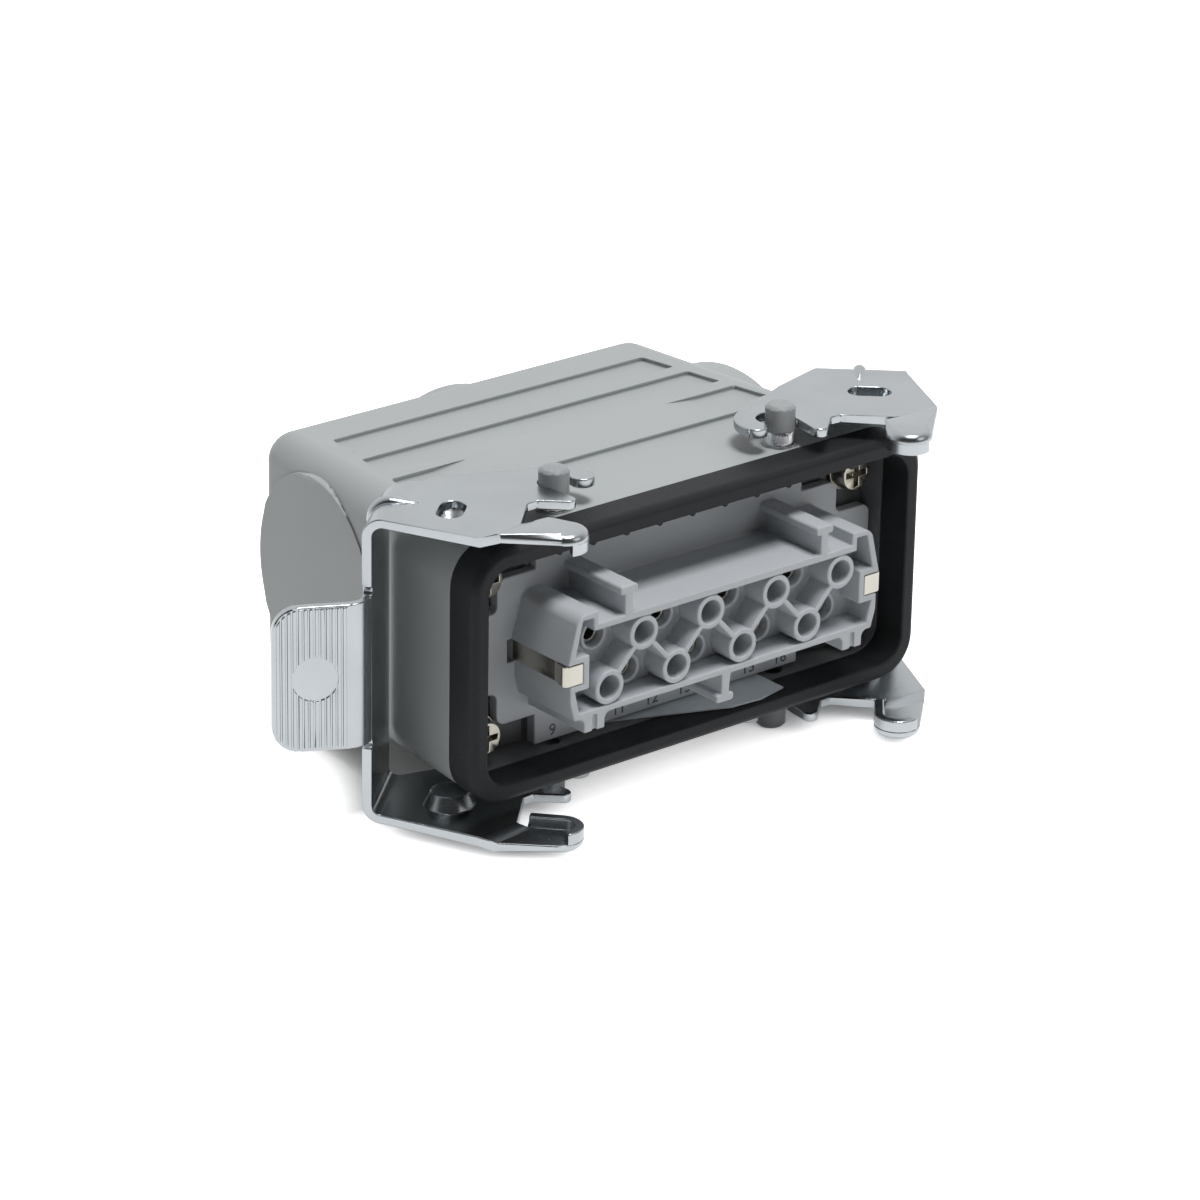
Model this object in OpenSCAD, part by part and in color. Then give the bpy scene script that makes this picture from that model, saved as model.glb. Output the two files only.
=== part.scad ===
// Rectangular multi-contact coupling socket: a cable hood with two swinging
// locking levers, a rubber face seal and a sixteen-way female contact insert.
// X runs along the length, Y runs back from the mating face and Z is up.
// The origin is the middle of the seal's front face.

/* [Mating face] */
// Length of the mating face
mouth_l = 94; // [88:0.5:104]
// Height of the mating face
mouth_h = 43.5; // [41:0.5:48]
// Outer corner radius of the mating face
mouth_r = 7; // [5:0.5:9]
// Depth of the face seal
seal_d = 6.4; // [4.5:0.1:8]
// Width of the face seal's front
seal_w = 3.1; // [2.6:0.1:3.8]
// Length of one moulded nib on the seal's upper inner edge
nib_d = 1.2; // [0.6:0.1:2.5]
// Spacing of the moulded nibs
nib_pitch = 6.8; // [5:0.1:10]

/* [Hood] */
// Depth of the hood behind the seal
hood_d = 60.7; // [50:0.1:72]
// Length of the hood at its back
back_l = 80.4; // [66:0.2:86]
// Height of the hood at its back
back_h = 42; // [38:0.2:42.6]
// Radius of the back edges
back_r = 5; // [3:0.5:8]
// Wall of the hood
wall = 2.9; // [2:0.1:3.4]
// Radius of the round entry bosses on the two ends
end_boss_r = 18.7; // [14:0.1:19.2]
// Place of the end bosses behind the mating face
end_boss_y = 48.3; // [44:0.1:49]
// Height of the end bosses above the tapered ends
end_boss_h = 0.3; // [0.2:0.1:2]
// Radius of the rear cable entry boss
rear_boss_r = 19.4; // [18.5:0.1:21.5]
// Height of the rear boss above the back face
rear_boss_h = 1.5; // [0.5:0.1:6]
// Core radius of the rear cable entry thread
entry_r = 15.2; // [9:0.1:16]
// Length of the rear cable entry thread
entry_len = 11; // [8:0.5:16]

/* [Grooves on the hood] */
// Width of one groove
groove_w = 7; // [4:0.1:8]
// Spacing of the grooves
groove_pitch = 10.15; // [9:0.05:12]
// Depth of the grooves
groove_h = 0.7; // [0.3:0.1:1.2]
// Back edge of the first groove behind the mating face
groove_y = 25.4; // [24:0.1:28]
// Distance from a groove's end to the end of the hood
groove_end = 7.2; // [5:0.1:10]
// Length of the plain panel between the two short grooves
panel_l = 43; // [30:1:48]

/* [Pivot pins] */
// Distance of a pivot pin from the end of the mating face
pin_inset = 23.3; // [20:0.1:26]
// Distance of a pivot pin behind the seal
pin_back = 3.2; // [2.9:0.05:6]
// Radius of the pin's foot
foot_r = 2.8; // [2.75:0.05:3.4]
// Radius of the pin's core
pin_r = 1.75; // [1.2:0.05:2]
// Radius of the plastic sleeve on the pin
sleeve_r = 2.5; // [2.3:0.05:2.7]
// Height of the sleeve above its foot
sleeve_h = 4.4; // [3.4:0.1:6]

/* [Levers] */
// Thickness of the lever's sheet
sheet = 1.6; // [1:0.1:2]
// Gap from the mating face's side to the lever arm
arm_gap = 2.75; // [1.9:0.05:3.5]
// Gap from the mating face's end to the closed lever
web_gap = 1.9; // [1:0.1:3]
// Width of the lever's end web
web_w = 13.7; // [10:0.1:15]
// Outer bend radius of the lever
bend_r = 3.2; // [2.2:0.1:6]
// Distance from the pivot to the lever's front edge
lever_front = 25.8; // [25:0.1:29]
// Width of the locking hook
hook_w = 7.7; // [7:0.1:8.4]
// Reach of the locking hook past the pivot
hook_reach = 8.95; // [8:0.05:12]
// Step of the hook away from the arm
hook_step = 0.95; // [0.5:0.05:2]
// Height of the rim turned in around the hook
rim_h = 1.9; // [1:0.1:2.4]
// Length of the finger grip
grip_l = 12.4; // [9:0.1:18]
// Height of the finger grip
grip_h = 24.6; // [16:0.2:34]
// Angle of the finger grip to the web
grip_deg = 70; // [45:1:85]
// Angle of the right lever's finger grip to its web
right_grip_deg = 94; // [45:1:100]
// Inner bend radius of the left lever's finger grip
left_turn_r = 2.4; // [0.8:0.1:3]
// Inner bend radius of the right lever's finger grip
right_turn_r = 0.8; // [0.6:0.1:2]
// Lift of the finger grips above the middle of the web
grip_lift = 0.7; // [0:0.1:2]
// Number of ridges on the finger grip
grip_ridges = 13; // [7:1:15]
// Opening of the left lever from its closed place
left_open = 48; // [0:1:60]
// Opening of the right lever from its closed place
right_open = 48; // [0:1:60]

/* [Contact insert] */
// Number of contact columns
columns = 8; // [4:2:8]
// Spacing of the contact columns
column_pitch = 6.93; // [6.5:0.01:7.3]
// Distance between the two contact rows
row_gap = 7.6; // [7:0.1:8]
// Outer radius of a raised contact tube
tube_r = 2.9; // [2.6:0.05:3]
// Bore radius of a contact tube
tube_bore_r = 2; // [1.85:0.05:2.2]
// Depth of the floor behind the tubes' front
floor_d = 5; // [3:0.1:8]
// Reach of the insert in front of the seal
insert_front = 5.9; // [3:0.1:9]
// Depth of the flange behind the seal's front
flange_y = 8.4; // [7.4:0.1:9.5]
// Thickness of the flange
flange_t = 2; // [1.4:0.1:2.6]
// Gap between the flange and the mouth
flange_gap = 0.7; // [0.4:0.1:1.2]
// Half height of the insert's front box
box_hh = 7.85; // [7.6:0.05:8.4]
// Wall of the insert's front box
box_wall = 1.1; // [0.8:0.05:1.3]
// Length of the insert's end blocks
end_len = 8.5; // [8:0.1:9.4]
// Rise of the end blocks above the box
end_rise = 2.1; // [1.5:0.1:3.5]
// Height of the guide ribs above the box
rib_h = 4.9; // [3:0.1:5.5]
// Depth of the insert behind the flange
rear_d = 22; // [18:0.5:26]
// Radius of a contact socket
contact_r = 1.75; // [1.5:0.05:1.8]
// Bore radius of a contact socket
contact_bore_r = 1.25; // [0.9:0.05:1.3]

/* [Fixings] */
// Distance of a fixing screw from the flange's end
fix_inset_x = 4.45; // [4.3:0.05:5]
// Distance of a fixing screw from the flange's edge
fix_inset_z = 4.4; // [4.3:0.05:5]
// Head radius of a fixing screw
fix_head_r = 3.3; // [2.8:0.05:3.5]
// Thread radius of a fixing screw
fix_r = 1.9; // [1.5:0.05:2]
// Thickness of the earth plates
plate_t = 1.2; // [0.8:0.1:1.6]
// Thickness of the earth springs
spring_t = 0.45; // [0.3:0.05:0.6]

/* [Hidden] */
$fn = 48;
hull_fn = 32;
fit_gap = 0.05;
run_gap = 0.08;
skin = 0.15;

// Hood sections
hood_hl = mouth_l / 2 - skin;
hood_hh = mouth_h / 2 - skin;
hood_back = seal_d + hood_d;
bore_hl = mouth_l / 2 - seal_w;
bore_hh = mouth_h / 2 - seal_w;
front_lip = 0.5;
taper_run = hood_d - front_lip - back_r;
top_fall = (hood_hh - back_h / 2) / taper_run;
end_fall = (hood_hl - back_l / 2) / taper_run;
top_deg = atan(top_fall);
end_deg = atan(end_fall);
function hood_z(y) = hood_hh - (y - seal_d - front_lip) * top_fall;
function hood_x(y) = hood_hl - (y - seal_d - front_lip) * end_fall;
bore_r = mouth_r - seal_w + 0.6;
bore_start = seal_d + front_lip / 2;
bore_fall = (bore_hh - back_h / 2 + wall) / (hood_back - wall - back_r + 1 - bore_start);
function bore_z(y) = bore_hh - max(0, y - bore_start) * bore_fall;

// Pivots and levers
pin_x = mouth_l / 2 - pin_inset;
pin_y = seal_d + pin_back;
arm_z = mouth_h / 2 + arm_gap;
pad_top = mouth_h / 2 + 0.2;
foot_top = arm_z - 0.3;
core_top = foot_top + sleeve_h - 0.9;
lever_reach = pin_inset + web_gap + sheet;
web_front = lever_front - 4.9;
web_back = web_front - web_w;
eye_r = sleeve_r + run_gap;
eye_slack = 1.4;
eye_ring = 3.4;
arm_top = arm_z + sheet;
slot_front = lever_front - hook_w - 0.9;
slot_side = 2.1;
hook_end_r = hook_w / 2;
hook_u = hook_end_r - hook_reach;
hook_v = slot_front + hook_end_r;
joggle_run = 2.2;

// Contact insert
flange_hl = bore_hl - flange_gap;
flange_hh = bore_hh - flange_gap;
flange_back = flange_y + flange_t;
field_hl = (columns - 1) * column_pitch / 2;
box_hl = field_hl + end_len;
floor_y = floor_d - insert_front;
fix_x = flange_hl - fix_inset_x;
fix_z = flange_hh - fix_inset_z;
washer_r = fix_head_r + 0.3;
washer_t = 0.8;
plate_back = flange_back + plate_t;
rear_back = flange_back + rear_d;
rear_hl = field_hl + 4.4;
rear_hh = row_gap / 2 + 6.4;
contact_front = floor_y + 0.7;
terminal_y = flange_back + 7;
terminal_w = 5;
terminal_l = 10;
terminal_screw_y = terminal_y + 5;
function column_x(k) = -field_hl + k * column_pitch;
function is_tube(k, row) = (k + (row > 0 ? 1 : 0)) % 2 == 0;

// Draws a flat outline in X and Z as a solid from y0 back to y1
module slab(y0, y1) {
    translate([0, y1, 0]) rotate([90, 0, 0]) linear_extrude(y1 - y0) children();
}

// Rounded rectangle from square and round parts
module rounded(hl, hh, r) {
    square([2 * hl, 2 * (hh - r)], center = true);
    square([2 * (hl - r), 2 * hh], center = true);
    for (sx = [-1, 1], sz = [-1, 1]) translate([sx * (hl - r), sz * (hh - r)]) circle(r);
}

// Smooth body that tapers from the mouth to a rounded back
module tapered_body(front_hl, front_hh, front_r, y0, back_hl, back_hh, y1, r) {
    hull() {
        slab(y0, y0 + front_lip) rounded(front_hl, front_hh, front_r, $fn = hull_fn);
        for (sx = [-1, 1], sz = [-1, 1])
            translate([sx * (back_hl - r), y1 - r, sz * (back_hh - r)]) sphere(r, $fn = hull_fn);
    }
}

// One groove outline on the top face, seen from above
module groove_outline(y_back) {
    extra = 0.045;
    hl_back = hood_x(y_back) - groove_end - extra * (y_back - groove_y - groove_pitch);
    hl_front = hood_x(y_back - groove_w) - groove_end - extra * (y_back - groove_w - groove_y - groove_pitch);
    polygon([[-hl_front, y_back - groove_w], [hl_front, y_back - groove_w], [hl_back, y_back], [-hl_back, y_back]]);
}

// The plain panel that parts the short grooves, with slanted ends
module panel_outline(y_back) {
    slant = 4;
    polygon([
        [-panel_l / 2 + slant, y_back - groove_w - 1], [panel_l / 2 - slant, y_back - groove_w - 1],
        [panel_l / 2, y_back + 1], [-panel_l / 2, y_back + 1]
    ]);
}

// Grooves cut into one wide face, laid along its slope
module face_grooves() {
    origin_y = seal_d + front_lip;
    translate([0, origin_y, hood_hh]) rotate([-top_deg, 0, 0]) translate([0, -origin_y, -groove_h])
        linear_extrude(3) {
            for (k = [0, 2, 3]) groove_outline(groove_y + k * groove_pitch);
            difference() {
                groove_outline(groove_y + groove_pitch);
                panel_outline(groove_y + groove_pitch);
            }
        }
}

// Cast post that takes one fixing screw, tied to both walls of its corner
module fixing_post() {
    post_r = 4;
    post_back = plate_back + 14;
    translate([fix_x, plate_back, fix_z]) rotate([-90, 0, 0]) cylinder(r = post_r, h = post_back - plate_back);
    translate([fix_x - post_r, plate_back, fix_z]) cube([2 * post_r, post_back - plate_back, bore_hh + 0.6 - fix_z]);
    translate([fix_x, plate_back, fix_z - post_r]) cube([bore_hl + 0.3 - fix_x, post_back - plate_back, 2 * post_r]);
}

// Disc that carries a blanked cable entry on a tapered end
module end_boss() {
    embed = 8;
    translate([hood_x(end_boss_y), end_boss_y, 0]) rotate([0, 0, end_deg]) rotate([0, 90, 0])
        translate([0, 0, -embed]) cylinder(r = end_boss_r, h = embed + end_boss_h, $fn = 96);
}

module hood() color([0.70, 0.72, 0.72]) {
    entry_front = hood_back + rear_boss_h - entry_len;
    shank_r = pin_r - 0.25 + fit_gap;
    difference() {
        union() {
            difference() {
                union() {
                    tapered_body(hood_hl, hood_hh, mouth_r, seal_d, back_l / 2, back_h / 2, hood_back, back_r);
                    end_boss();
                    mirror([1, 0, 0]) end_boss();
                    translate([0, hood_back - wall, 0]) rotate([-90, 0, 0])
                        cylinder(r = rear_boss_r, h = wall + rear_boss_h, $fn = 96);
                    for (sx = [-1, 1], sz = [-1, 1]) translate([sx * pin_x, pin_y, 0])
                        mirror([0, 0, sz < 0 ? 1 : 0]) translate([0, 0, hood_hh - wall])
                            cylinder(r = foot_r, h = pad_top - hood_hh + wall);
                }
                tapered_body(bore_hl, bore_hh, bore_r, seal_d - front_lip / 2,
                             back_l / 2 - wall, back_h / 2 - wall, hood_back - wall, back_r - 1);
            }
            translate([0, entry_front, 0]) rotate([-90, 0, 0])
                cylinder(r = entry_r + wall, h = entry_len - rear_boss_h, $fn = 96);
            for (sx = [0, 1], sz = [0, 1]) mirror([sx, 0, 0]) mirror([0, 0, sz]) fixing_post();
        }
        translate([0, entry_front - 1, 0]) rotate([-90, 0, 0]) cylinder(r = entry_r, h = entry_len + 2, $fn = 96);
        for (sx = [-1, 1], sz = [-1, 1]) {
            translate([sx * fix_x, plate_back - 1, sz * fix_z]) rotate([-90, 0, 0]) cylinder(r = fix_r + fit_gap, h = 12);
            translate([sx * pin_x, pin_y, sz < 0 ? -pad_top - 1 : pad_top - wall - 2])
                cylinder(r = shank_r, h = wall + 3);
        }
        for (sz = [0, 1]) mirror([0, 0, sz]) face_grooves();
    }
}

module gasket() color([0.13, 0.14, 0.15]) {
    lip = 1;
    nib_r = 0.5;
    nib_shift = 0.38 * nib_pitch;
    nib_n = floor((bore_hl - mouth_r - nib_shift) / nib_pitch);
    difference() {
        hull() {
            slab(lip, seal_d) rounded(mouth_l / 2, mouth_h / 2, mouth_r);
            slab(0, lip) rounded(mouth_l / 2 - lip, mouth_h / 2 - lip, mouth_r - lip);
        }
        slab(-1, seal_d + 1) rounded(bore_hl, bore_hh, bore_r);
    }
    for (k = [-nib_n:nib_n]) translate([k * nib_pitch - nib_shift, 0.1, bore_hh])
        rotate([-90, 0, 0]) cylinder(r = nib_r, h = nib_d);
}

// Loose slip that lies on the lower wall, one corner showing below the insert
module insulating_film() color([0.62, 0.65, 0.68]) {
    film_t = 0.25;
    film_gap = 0.1;
    film_back = flange_back + 1;
    film_side = 2.85 * column_pitch;
    tip = [2 * column_pitch, 0.14 * seal_d];
    translate([0, 0, -min(bore_hh, bore_z(film_back)) + film_gap]) linear_extrude(film_t) polygon([
        [-2 * column_pitch, flange_y + 1.4], tip + [-6, 0.4], tip, [film_side, 2.5 * tip[1]],
        [film_side, film_back], [-1.5 * column_pitch, film_back]
    ]);
}

// Outline of the flange: full height in the middle, then a step down and a
// rounded corner that leaves room for the screw, washer and plate at each corner
module flange_outline() {
    middle_hl = field_hl + 3.7;
    step_hl = fix_x - washer_r + 0.6;
    step_hh = fix_z - 0.9;
    end_hh = fix_z - washer_r - 3;
    corner = 1.8;
    fillet = 1.2;
    square([2 * middle_hl, 2 * flange_hh], center = true);
    rounded(step_hl, step_hh, corner);
    rounded(flange_hl, end_hh, corner);
    for (sx = [0, 1], sz = [0, 1]) mirror([sx, 0]) mirror([0, sz]) translate([step_hl, end_hh]) difference() {
        translate([-0.5, -0.5]) square(fillet + 0.5);
        translate([fillet, fillet]) circle(fillet);
    }
}

// Right-hand half of the front box's outer shape, with its slanted end block
module box_half() {
    top_in = box_hl - 6.1;
    polygon([
        [0, -box_hh], [box_hl - 1.4, -box_hh], [box_hl, -box_hh + 5], [box_hl, shoulder_z],
        [box_hl - 2, box_hh + end_rise], [top_in, box_hh + end_rise], [top_in, box_hh], [0, box_hh]
    ]);
}

// Right-hand half of the hollow inside the front box
module hollow_half() {
    in_hh = box_hh - box_wall;
    island = 2.9;
    polygon([
        [0, -in_hh], [box_hl - 2.4, -in_hh], [box_hl - 1.5, -island], [box_hl - 4.3, -island],
        [box_hl - 4.3, island], [box_hl - 1.5, island], [box_hl - 2.9, box_hh + end_rise - 1],
        [box_hl - 5.1, box_hh + end_rise - 1], [box_hl - 5.1, in_hh], [0, in_hh]
    ]);
}

// Both halves of an outline that is the same left and right
module both_ends() {
    children();
    mirror([1, 0]) children();
}

// T-shaped guide rib standing on the box
module guide_rib(x, up) {
    cap_w = 3.5;
    cap_t = 1.4;
    stem_w = 1.5;
    base = up * (box_hh - 0.2);
    top = up * (box_hh + rib_h);
    slab(-insert_front, flange_y + 0.5) {
        translate([x - stem_w / 2, min(base, top)]) square([stem_w, abs(top - base)]);
        translate([x, top - up * cap_t / 2]) rounded(cap_w / 2, cap_t / 2, 0.45);
    }
}

// Foot under one end of the box, flared where it meets the wall
foot_x = field_hl + 3;
module foot_outline() {
    foot_w = 4.2;
    foot_h = 2.6;
    flare = 1.2;
    translate([-foot_w / 2, -box_hh - foot_h]) square([foot_w, foot_h + 0.5]);
    for (sx = [0, 1]) mirror([sx, 0]) translate([foot_w / 2, -box_hh]) difference() {
        translate([-0.5, -flare]) square(flare + 0.5);
        translate([flare, -flare]) circle(flare);
    }
}

// Thin wall that joins two neighbouring tubes in the zigzag
module tube_web(k) {
    web_t = 0.9;
    z0 = (is_tube(k, 1) ? 1 : -1) * row_gap / 2;
    run = sqrt(column_pitch * column_pitch + row_gap * row_gap);
    translate([column_x(k) + column_pitch / 2, 0]) rotate(atan2(-2 * z0, column_pitch))
        square([run - 2 * tube_bore_r - 1, web_t], center = true);
}

module contact_holes() {
    for (k = [0:columns - 1], row = [-1, 1]) translate([column_x(k), 0, row * row_gap / 2]) {
        rotate([-90, 0, 0]) translate([0, 0, -insert_front - 1]) cylinder(r = tube_bore_r, h = insert_front + flange_back);
        rotate([-90, 0, 0]) cylinder(r = contact_r + fit_gap, h = terminal_y + 1);
        translate([-terminal_w / 2 - fit_gap, terminal_y, -terminal_w / 2 - fit_gap])
            cube([terminal_w + 2 * fit_gap, rear_back, terminal_w + 2 * fit_gap]);
        translate([0, terminal_screw_y, 0]) rotate([row > 0 ? 0 : 180, 0, 0]) cylinder(r = 1.9, h = rear_hh + 2);
    }
}

module insert_body() color([0.76, 0.78, 0.80]) {
    side_step = 0.5;
    core_w = 1.4;
    core_h = 3.9;
    window_front = 3.1;
    ring_rise = 0.8;
    difference() {
        union() {
            slab(flange_y, flange_back) flange_outline();
            difference() {
                slab(-insert_front, flange_y + 0.5) both_ends() box_half();
                slab(-insert_front - 1, floor_y) both_ends() hollow_half();
            }
            slab(-insert_front, floor_y + 0.5) intersection() {
                union() {
                    for (k = [0:columns - 1], row = [-1, 1]) if (is_tube(k, row))
                        translate([column_x(k), row * row_gap / 2]) circle(tube_r);
                    for (k = [0:columns - 2]) tube_web(k);
                }
                square([2 * box_hl, 2 * box_hh], center = true);
            }
            slab(floor_y - ring_rise, floor_y + 0.5)
                for (k = [0:columns - 1], row = [-1, 1]) if (!is_tube(k, row))
                    translate([column_x(k), row * row_gap / 2]) circle(tube_r - 0.2);
            for (sx = [-1, 1]) guide_rib(sx * (field_hl - 3.7), 1);
            guide_rib(0, -1);
            for (sx = [-1, 1]) translate([sx * foot_x, 0, 0]) slab(-insert_front, flange_y + 0.5) foot_outline();
            slab(flange_back - 0.5, rear_back) square([2 * rear_hl, 2 * rear_hh], center = true);
        }
        contact_holes();
        for (sx = [-1, 1]) translate([sx * foot_x - 0.5, -insert_front - 1, -box_hh - 5]) cube([1, 1.5, 5.2]);
        for (sx = [0, 1]) mirror([sx, 0, 0]) {
            translate([box_hl - side_step, -insert_front - 1, -box_hh])
                cube([4, insert_front + flange_y + 1, box_hh + shoulder_z]);
            translate([box_hl - side_step, flange_y - 1, shoulder_z - core_h]) cube([core_w, flange_t + 2, core_h]);
            translate([spring_x - fit_gap, spring_window, -spring_h / 2 - fit_gap])
                cube([spring_t + 4 * fit_gap, flange_back + 2 - spring_window, spring_h + 2 * fit_gap]);
            translate([spring_x - fit_gap, -insert_front + window_front, -spring_h / 2 - fit_gap])
                cube([4, spring_window - window_front + insert_front, spring_h + 2 * fit_gap]);
            translate([spring_x - tab_l - 0.1, -insert_front - 1, -spring_h / 2 - 0.15])
                cube([8, 1.1 + spring_t + fit_gap, spring_h + 0.3]);
        }
        for (sz = [0, 1]) mirror([0, 0, sz]) for (k = [0:columns - 2])
            translate([column_x(k) + column_pitch / 2 - 0.4, terminal_y + 1, rear_hh - 2.2]) cube([0.8, rear_d, 3]);
    }
}

// Turned socket with a square screw terminal behind it
module contact(x, z) {
    translate([x, 0, z]) difference() {
        union() {
            translate([0, contact_front, 0]) rotate([-90, 0, 0]) cylinder(r = contact_r, h = terminal_y + 1 - contact_front);
            translate([-terminal_w / 2, terminal_y, -terminal_w / 2]) cube([terminal_w, terminal_l, terminal_w]);
        }
        translate([0, contact_front - 1, 0]) rotate([-90, 0, 0]) cylinder(r = contact_bore_r, h = 10);
        translate([0, terminal_y + 1.5, 0]) rotate([-90, 0, 0]) cylinder(r = 1.6, h = terminal_l);
        translate([0, terminal_screw_y, 0]) rotate([z > 0 ? 0 : 180, 0, 0]) cylinder(r = 1.2, h = terminal_w);
    }
}

// Slotted clamp screw that bears on the wire in a terminal
module terminal_screw(x, row) {
    head_r = 1.7;
    head_h = 2;
    slot_w = 0.5;
    slot_d = 0.8;
    translate([x, terminal_screw_y, row * row_gap / 2]) mirror([0, 0, row < 0 ? 1 : 0]) difference() {
        union() {
            translate([0, 0, terminal_w / 2 - 1.2]) cylinder(r = 1.15, h = 1.4);
            translate([0, 0, terminal_w / 2]) cylinder(r = head_r, h = head_h);
        }
        translate([-head_h, -slot_w / 2, terminal_w / 2 + head_h - slot_d]) cube([2 * head_h, slot_w, head_h]);
    }
}

module upper_contacts() color([0.75, 0.72, 0.62])
    for (k = [0:columns - 1]) contact(column_x(k), row_gap / 2);

module lower_contacts() color([0.75, 0.72, 0.62])
    for (k = [0:columns - 1]) contact(column_x(k), -row_gap / 2);

module upper_terminal_screws() color([0.72, 0.74, 0.76])
    for (k = [0:columns - 1]) terminal_screw(column_x(k), 1);

module lower_terminal_screws() color([0.72, 0.74, 0.76])
    for (k = [0:columns - 1]) terminal_screw(column_x(k), -1);

// Stamped plate behind one end of the flange, with a tail for the earth wire
module earth_plate() {
    inner = rear_hl + 0.3;
    tail_l = 13;
    tail_h = 9;
    color([0.72, 0.74, 0.77]) difference() {
        union() {
            slab(flange_back, plate_back) difference() {
                intersection() {
                    translate([inner, -flange_hh]) square([flange_hl - inner, 2 * flange_hh]);
                    rounded(flange_hl - 0.3, flange_hh - 0.3, bore_r);
                }
                translate([flange_hl, 0]) circle(5);
            }
            translate([inner, plate_back - 0.2, -tail_h / 2]) cube([plate_t, tail_l, tail_h]);
        }
        for (sz = [-1, 1]) translate([fix_x, flange_back - 1, sz * fix_z]) rotate([-90, 0, 0])
            cylinder(r = fix_r + fit_gap, h = plate_t + 2);
        translate([inner - 1, plate_back + 8, 0]) rotate([0, 90, 0]) cylinder(r = 1.9, h = plate_t + 2);
    }
}

// Earth clamp screw in the tail of its plate
module earth_screw() {
    inner = rear_hl + 0.3 + plate_t;
    color([0.78, 0.79, 0.80]) translate([inner, plate_back + 8, 0]) rotate([0, 90, 0]) difference() {
        union() {
            translate([0, 0, -plate_t]) cylinder(r = 1.85, h = plate_t + 0.1);
            cylinder(r = 3.2, h = 2.2);
        }
        translate([-4, -0.4, 1.2]) cube([8, 0.8, 2]);
    }
}

// Strip in a slot of the insert's end, sprung out through a window and folded
// over the front of its island
spring_h = 3.4;
shoulder_z = spring_h / 2 + 2 * fit_gap;
spring_x = box_hl - 1.75;
spring_window = 1.1;
spring_out = 18;
bow_r = 0.95;
tab_l = 1.3;
bow_y = -insert_front + 0.1 + bow_r;
bow_x = spring_x + spring_t + (spring_window - bow_y - bow_r * sin(spring_out)) * tan(spring_out)
    - bow_r * cos(spring_out);
module earth_spring() {
    steps = 6;
    tail = flange_y + flange_t / 2;
    turn = [for (i = [0:steps]) spring_out - (90 + spring_out) * i / steps];
    color([0.84, 0.81, 0.74]) translate([0, 0, -spring_h / 2]) linear_extrude(spring_h) polygon(concat(
        [[spring_x, tail], [spring_x + spring_t, tail], [spring_x + spring_t, spring_window]],
        [for (a = turn) [bow_x + bow_r * cos(a), bow_y + bow_r * sin(a)]],
        [[spring_x - tab_l, bow_y - bow_r], [spring_x - tab_l, bow_y - bow_r + spring_t]],
        [for (i = [steps:-1:0]) [bow_x + (bow_r - spring_t) * cos(turn[i]), bow_y + (bow_r - spring_t) * sin(turn[i])]],
        [[spring_x, spring_window - spring_t * tan(spring_out / 2)]]
    ));
}

module earth_plate_left() mirror([1, 0, 0]) earth_plate();
module earth_plate_right() earth_plate();
module earth_spring_left() mirror([1, 0, 0]) earth_spring();
module earth_spring_right() earth_spring();
module earth_screw_left() mirror([1, 0, 0]) earth_screw();
module earth_screw_right() earth_screw();

module fixing_washers() color([0.80, 0.81, 0.82]) {
    for (sx = [-1, 1], sz = [-1, 1]) translate([sx * fix_x, flange_back - washer_t, sz * fix_z]) rotate([-90, 0, 0])
        difference() {
            cylinder(r = washer_r, h = washer_t);
            translate([0, 0, -1]) cylinder(r = fix_r + fit_gap, h = washer_t + 2);
        }
}

module fixing_screws() color([0.80, 0.81, 0.82]) {
    head_h = 2.6;
    under_head = flange_back - washer_t;
    shank_l = 12;
    cross_l = 4.4;
    cross_w = 0.9;
    cross_d = 1.4;
    for (sx = [-1, 1], sz = [-1, 1]) translate([sx * fix_x, under_head, sz * fix_z]) rotate([-90, 0, 0])
        difference() {
            union() {
                cylinder(r = fix_r, h = shank_l);
                translate([0, 0, -head_h]) cylinder(r1 = fix_head_r - 0.5, r2 = fix_head_r, h = head_h);
            }
            for (a = [0, 90]) rotate([0, 0, a]) translate([-cross_l / 2, -cross_w / 2, -head_h - cross_d])
                cube([cross_l, cross_w, 2 * cross_d]);
        }
}

// Pivot pin riveted into the hood, with a conical foot that carries the arm
module pivot_pin(sx, sz) {
    color([0.80, 0.82, 0.84]) translate([sx * pin_x, pin_y, 0]) mirror([0, 0, sz < 0 ? 1 : 0]) {
        translate([0, 0, pad_top - wall]) cylinder(r = pin_r - 0.25, h = wall + 0.1);
        translate([0, 0, pad_top]) cylinder(r1 = foot_r, r2 = foot_r - 0.45, h = foot_top - pad_top);
        translate([0, 0, foot_top - 0.1]) cylinder(r = pin_r, h = core_top - foot_top + 0.1);
    }
}

// Plastic cap pushed over a pivot pin
module pin_sleeve(sx, sz) {
    chamfer = 0.5;
    color([0.60, 0.62, 0.63]) translate([sx * pin_x, pin_y, 0]) mirror([0, 0, sz < 0 ? 1 : 0]) difference() {
        union() {
            translate([0, 0, foot_top]) cylinder(r = sleeve_r, h = sleeve_h - chamfer);
            translate([0, 0, foot_top + sleeve_h - chamfer])
                cylinder(r1 = sleeve_r, r2 = sleeve_r - chamfer, h = chamfer);
        }
        translate([0, 0, foot_top - 1]) cylinder(r = pin_r + fit_gap, h = core_top - foot_top + 1.2);
    }
}

module pin_top_left() pivot_pin(-1, 1);
module pin_top_right() pivot_pin(1, 1);
module pin_bottom_left() pivot_pin(-1, -1);
module pin_bottom_right() pivot_pin(1, -1);
module sleeve_top_left() pin_sleeve(-1, 1);
module sleeve_top_right() pin_sleeve(1, 1);
module sleeve_bottom_left() pin_sleeve(-1, -1);
module sleeve_bottom_right() pin_sleeve(1, -1);

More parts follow.
